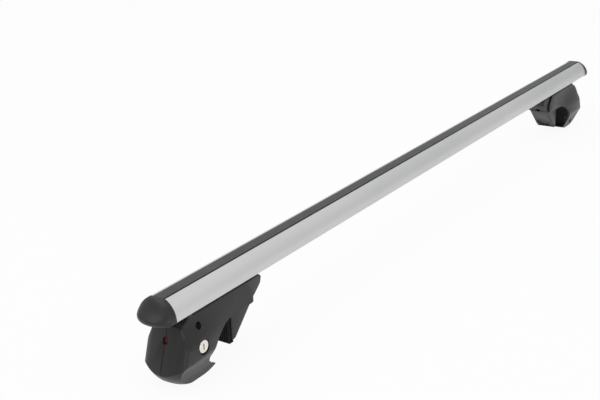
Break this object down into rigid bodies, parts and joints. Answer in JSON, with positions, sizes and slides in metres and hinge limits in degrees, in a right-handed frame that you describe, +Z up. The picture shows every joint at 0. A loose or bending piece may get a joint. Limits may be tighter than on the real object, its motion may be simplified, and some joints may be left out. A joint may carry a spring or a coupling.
{
  "type": "roof rack crossbar",
  "caption": "Aluminium roof rack crossbar with a rubber top strip, domed end caps and lockable clamping feet for raised roof rails.",
  "frame": {"origin": "under the middle of the bar, in the plane the two feet stand on", "axes": "+X along the bar towards the right foot, +Y across it, +Z up to the load side"},
  "size_m": [1.244, 0.061, 0.1093],
  "materials": {
    "anodised_aluminium": "satin clear anodised extrusion",
    "strip_rubber": "matte",
    "cap_plastic": "smooth matte",
    "housing_plastic": "fine moulded grain",
    "jaw_plastic": "fine moulded grain",
    "pad_rubber": "matte",
    "liner_rubber": "matte, ribbed",
    "zinc_steel": "zinc plated",
    "screw_steel": "dark plated",
    "lock_metal": "satin nickel",
    "shutter_plastic": "smooth red"
  },
  "bodies": {
    "bar": {"bar_extrusion": "anodised_aluminium", "top_strip": "strip_rubber", "left_end_cap": "cap_plastic", "right_end_cap": "cap_plastic"},
    "left_foot": {"left_lock_side_shell": "housing_plastic", "left_plain_side_shell": "housing_plastic", "left_saddle_pad": "pad_rubber", "left_bracket": "zinc_steel", "left_slot_plate": "zinc_steel", "left_slot_screws": "screw_steel", "left_shell_screws": "screw_steel", "left_hook_liner": "liner_rubber", "left_lock_housing": "lock_metal", "left_bolt_washer": "zinc_steel"},
    "left_jaw": {"left_jaw_block": "jaw_plastic", "left_jaw_pad": "liner_rubber", "left_jaw_nut": "zinc_steel"},
    "left_bolt": {"left_clamp_bolt": "screw_steel"},
    "left_lock": {"left_lock_plug": "lock_metal", "left_lock_cam": "zinc_steel"},
    "left_shutter": {"left_shutter": "shutter_plastic"},
    "right_foot": {"right_lock_side_shell": "housing_plastic", "right_plain_side_shell": "housing_plastic", "right_saddle_pad": "pad_rubber", "right_bracket": "zinc_steel", "right_slot_plate": "zinc_steel", "right_slot_screws": "screw_steel", "right_shell_screws": "screw_steel", "right_hook_liner": "liner_rubber", "right_lock_housing": "lock_metal", "right_bolt_washer": "zinc_steel"},
    "right_jaw": {"right_jaw_block": "jaw_plastic", "right_jaw_pad": "liner_rubber", "right_jaw_nut": "zinc_steel"},
    "right_bolt": {"right_clamp_bolt": "screw_steel"},
    "right_lock": {"right_lock_plug": "lock_metal", "right_lock_cam": "zinc_steel"},
    "right_shutter": {"right_shutter": "shutter_plastic"}
  },
  "joints": [
    {"name": "left_foot_slide", "type": "slide", "parent": "bar", "child": "left_foot", "axis": [1, 0, 0], "range_m": [-0.01, 0.15]},
    {"name": "left_bolt_spin", "type": "hinge", "parent": "left_foot", "child": "left_bolt", "pos_m": [-0.5586, 0, 0.0555], "axis": [1, 0, 0], "range_deg": [-4380, 5100]},
    {"name": "left_jaw_slide", "type": "slide", "parent": "left_foot", "child": "left_jaw", "axis": [-1, 0, 0], "range_m": [-0.012, 0.014]},
    {"name": "left_lock_turn", "type": "hinge", "parent": "left_foot", "child": "left_lock", "pos_m": [-0.5668, -0.0088, 0.0428], "axis": [0, -1, 0], "range_deg": [0, 90]},
    {"name": "left_shutter_slide", "type": "slide", "parent": "left_foot", "child": "left_shutter", "axis": [-0.3235, 0, -0.9462], "range_m": [-0.0001, 0.0096]},
    {"name": "right_foot_slide", "type": "slide", "parent": "bar", "child": "right_foot", "axis": [1, 0, 0], "range_m": [-0.15, 0.04]},
    {"name": "right_bolt_spin", "type": "hinge", "parent": "right_foot", "child": "right_bolt", "pos_m": [0.5286, 0, 0.0555], "axis": [-1, 0, 0], "range_deg": [-4380, 5100]},
    {"name": "right_jaw_slide", "type": "slide", "parent": "right_foot", "child": "right_jaw", "axis": [1, 0, 0], "range_m": [-0.012, 0.014]},
    {"name": "right_lock_turn", "type": "hinge", "parent": "right_foot", "child": "right_lock", "pos_m": [0.5368, 0.0088, 0.0428], "axis": [0, 1, 0], "range_deg": [0, 90]},
    {"name": "right_shutter_slide", "type": "slide", "parent": "right_foot", "child": "right_shutter", "axis": [0.3235, 0, -0.9462], "range_m": [-0.0001, 0.0096]}
  ],
  "couplings": [
    {"joint": "left_bolt_spin", "follows": "left_jaw_slide", "rad_per_m": 6283.2},
    {"joint": "left_shutter_slide", "follows": "left_lock_turn", "m_per_rad": 0.0060479},
    {"joint": "right_bolt_spin", "follows": "right_jaw_slide", "rad_per_m": 6283.2},
    {"joint": "right_shutter_slide", "follows": "right_lock_turn", "m_per_rad": 0.0060479}
  ]
}
